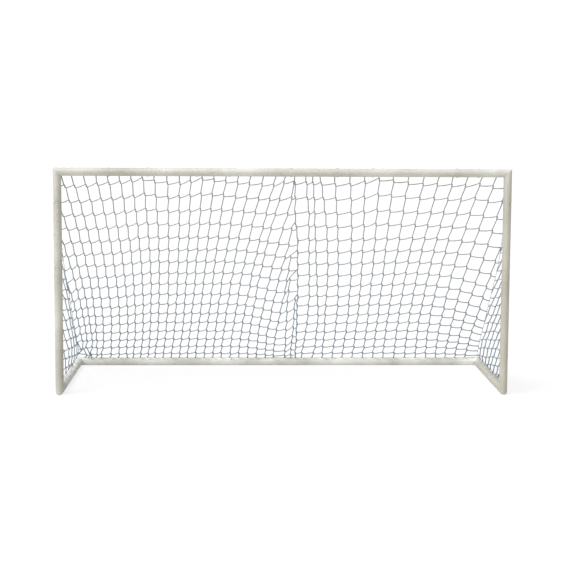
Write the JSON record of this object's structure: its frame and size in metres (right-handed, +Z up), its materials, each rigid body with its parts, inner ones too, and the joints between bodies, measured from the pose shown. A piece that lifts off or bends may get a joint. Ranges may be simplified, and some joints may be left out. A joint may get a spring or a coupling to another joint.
{
  "type": "football goal",
  "caption": "Free-standing training goal, 12 ft by 6 ft: push-fit PVC tube frame with mitred corners, and a cord net that falls in a curve from the crossbar to a rear ground bar.",
  "frame": {"origin": "on the ground, under the middle of the goal's box", "axes": "+X along the crossbar, to the right as seen from in front of the mouth; +Y from the mouth to the rear bar; +Z up"},
  "size_m": [3.8016, 1.2718, 1.9005],
  "materials": {
    "tube_pvc": "white PVC, satin, slightly yellowed and scuffed",
    "fitting_pvc": "moulded white PVC, satin",
    "clip_nylon": "moulded white nylon, matt",
    "button_nylon": "moulded white nylon, satin",
    "net_cord": "twisted white polyethylene cord, weathered"
  },
  "bodies": {
    "frame": {"crossbar_tube_left": "tube_pvc", "crossbar_tube_middle": "tube_pvc", "crossbar_tube_right": "tube_pvc", "rear_tube_left": "tube_pvc", "rear_tube_middle": "tube_pvc", "rear_tube_right": "tube_pvc", "post_tube_lower_left": "tube_pvc", "post_tube_upper_left": "tube_pvc", "side_tube_left": "tube_pvc", "post_tube_lower_right": "tube_pvc", "post_tube_upper_right": "tube_pvc", "side_tube_right": "tube_pvc", "corner_top_left": "fitting_pvc", "corner_foot_left": "fitting_pvc", "corner_rear_left": "fitting_pvc", "corner_top_right": "fitting_pvc", "corner_foot_right": "fitting_pvc", "corner_rear_right": "fitting_pvc", "crossbar_coupler_left": "fitting_pvc", "rear_coupler_left": "fitting_pvc", "post_coupler_left": "fitting_pvc", "crossbar_coupler_right": "fitting_pvc", "rear_coupler_right": "fitting_pvc", "post_coupler_right": "fitting_pvc", "clip_crossbar_inner_left": "clip_nylon", "clip_crossbar_outer_left": "clip_nylon", "clip_rear_inner_left": "clip_nylon", "clip_rear_outer_left": "clip_nylon", "clip_post_lower_left": "clip_nylon", "clip_post_upper_left": "clip_nylon", "clip_side_left": "clip_nylon", "clip_crossbar_inner_right": "clip_nylon", "clip_crossbar_outer_right": "clip_nylon", "clip_rear_inner_right": "clip_nylon", "clip_rear_outer_right": "clip_nylon", "clip_post_lower_right": "clip_nylon", "clip_post_upper_right": "clip_nylon", "clip_side_right": "clip_nylon", "net_back": "net_cord", "net_left": "net_cord", "net_right": "net_cord"},
    "button_crossbar_coupler_left": {"button_crossbar_coupler_left": "button_nylon"},
    "button_rear_coupler_left": {"button_rear_coupler_left": "button_nylon"},
    "button_post_coupler_left": {"button_post_coupler_left": "button_nylon"},
    "button_top_left_bar": {"button_top_left_bar": "button_nylon"},
    "button_top_left_post": {"button_top_left_post": "button_nylon"},
    "button_foot_left_post": {"button_foot_left_post": "button_nylon"},
    "button_foot_left_side": {"button_foot_left_side": "button_nylon"},
    "button_rear_left_side": {"button_rear_left_side": "button_nylon"},
    "button_rear_left_bar": {"button_rear_left_bar": "button_nylon"},
    "button_crossbar_coupler_right": {"button_crossbar_coupler_right": "button_nylon"},
    "button_rear_coupler_right": {"button_rear_coupler_right": "button_nylon"},
    "button_post_coupler_right": {"button_post_coupler_right": "button_nylon"},
    "button_top_right_bar": {"button_top_right_bar": "button_nylon"},
    "button_top_right_post": {"button_top_right_post": "button_nylon"},
    "button_foot_right_post": {"button_foot_right_post": "button_nylon"},
    "button_foot_right_side": {"button_foot_right_side": "button_nylon"},
    "button_rear_right_side": {"button_rear_right_side": "button_nylon"},
    "button_rear_right_bar": {"button_rear_right_bar": "button_nylon"}
  },
  "joints": [
    {"name": "press_crossbar_coupler_left", "type": "slide", "parent": "frame", "child": "button_crossbar_coupler_left", "axis": [0, -1, 0], "range_m": [0, 0.006], "stiffness_N_per_m": 1500},
    {"name": "press_rear_coupler_left", "type": "slide", "parent": "frame", "child": "button_rear_coupler_left", "axis": [0, 0, -1], "range_m": [0, 0.006], "stiffness_N_per_m": 1500},
    {"name": "press_post_coupler_left", "type": "slide", "parent": "frame", "child": "button_post_coupler_left", "axis": [1, 0, 0], "range_m": [0, 0.006], "stiffness_N_per_m": 1500},
    {"name": "press_top_left_bar", "type": "slide", "parent": "frame", "child": "button_top_left_bar", "axis": [0, -1, 0], "range_m": [0, 0.006], "stiffness_N_per_m": 1500},
    {"name": "press_top_left_post", "type": "slide", "parent": "frame", "child": "button_top_left_post", "axis": [0, -1, 0], "range_m": [0, 0.006], "stiffness_N_per_m": 1500},
    {"name": "press_foot_left_post", "type": "slide", "parent": "frame", "child": "button_foot_left_post", "axis": [1, 0, 0], "range_m": [0, 0.006], "stiffness_N_per_m": 1500},
    {"name": "press_foot_left_side", "type": "slide", "parent": "frame", "child": "button_foot_left_side", "axis": [1, 0, 0], "range_m": [0, 0.006], "stiffness_N_per_m": 1500},
    {"name": "press_rear_left_side", "type": "slide", "parent": "frame", "child": "button_rear_left_side", "axis": [0, 0, -1], "range_m": [0, 0.006], "stiffness_N_per_m": 1500},
    {"name": "press_rear_left_bar", "type": "slide", "parent": "frame", "child": "button_rear_left_bar", "axis": [0, 0, -1], "range_m": [0, 0.006], "stiffness_N_per_m": 1500},
    {"name": "press_crossbar_coupler_right", "type": "slide", "parent": "frame", "child": "button_crossbar_coupler_right", "axis": [0, -1, 0], "range_m": [0, 0.006], "stiffness_N_per_m": 1500},
    {"name": "press_rear_coupler_right", "type": "slide", "parent": "frame", "child": "button_rear_coupler_right", "axis": [0, 0, -1], "range_m": [0, 0.006], "stiffness_N_per_m": 1500},
    {"name": "press_post_coupler_right", "type": "slide", "parent": "frame", "child": "button_post_coupler_right", "axis": [-1, 0, 0], "range_m": [0, 0.006], "stiffness_N_per_m": 1500},
    {"name": "press_top_right_bar", "type": "slide", "parent": "frame", "child": "button_top_right_bar", "axis": [0, -1, 0], "range_m": [0, 0.006], "stiffness_N_per_m": 1500},
    {"name": "press_top_right_post", "type": "slide", "parent": "frame", "child": "button_top_right_post", "axis": [0, -1, 0], "range_m": [0, 0.006], "stiffness_N_per_m": 1500},
    {"name": "press_foot_right_post", "type": "slide", "parent": "frame", "child": "button_foot_right_post", "axis": [-1, 0, 0], "range_m": [0, 0.006], "stiffness_N_per_m": 1500},
    {"name": "press_foot_right_side", "type": "slide", "parent": "frame", "child": "button_foot_right_side", "axis": [-1, 0, 0], "range_m": [0, 0.006], "stiffness_N_per_m": 1500},
    {"name": "press_rear_right_side", "type": "slide", "parent": "frame", "child": "button_rear_right_side", "axis": [0, 0, -1], "range_m": [0, 0.006], "stiffness_N_per_m": 1500},
    {"name": "press_rear_right_bar", "type": "slide", "parent": "frame", "child": "button_rear_right_bar", "axis": [0, 0, -1], "range_m": [0, 0.006], "stiffness_N_per_m": 1500}
  ]
}
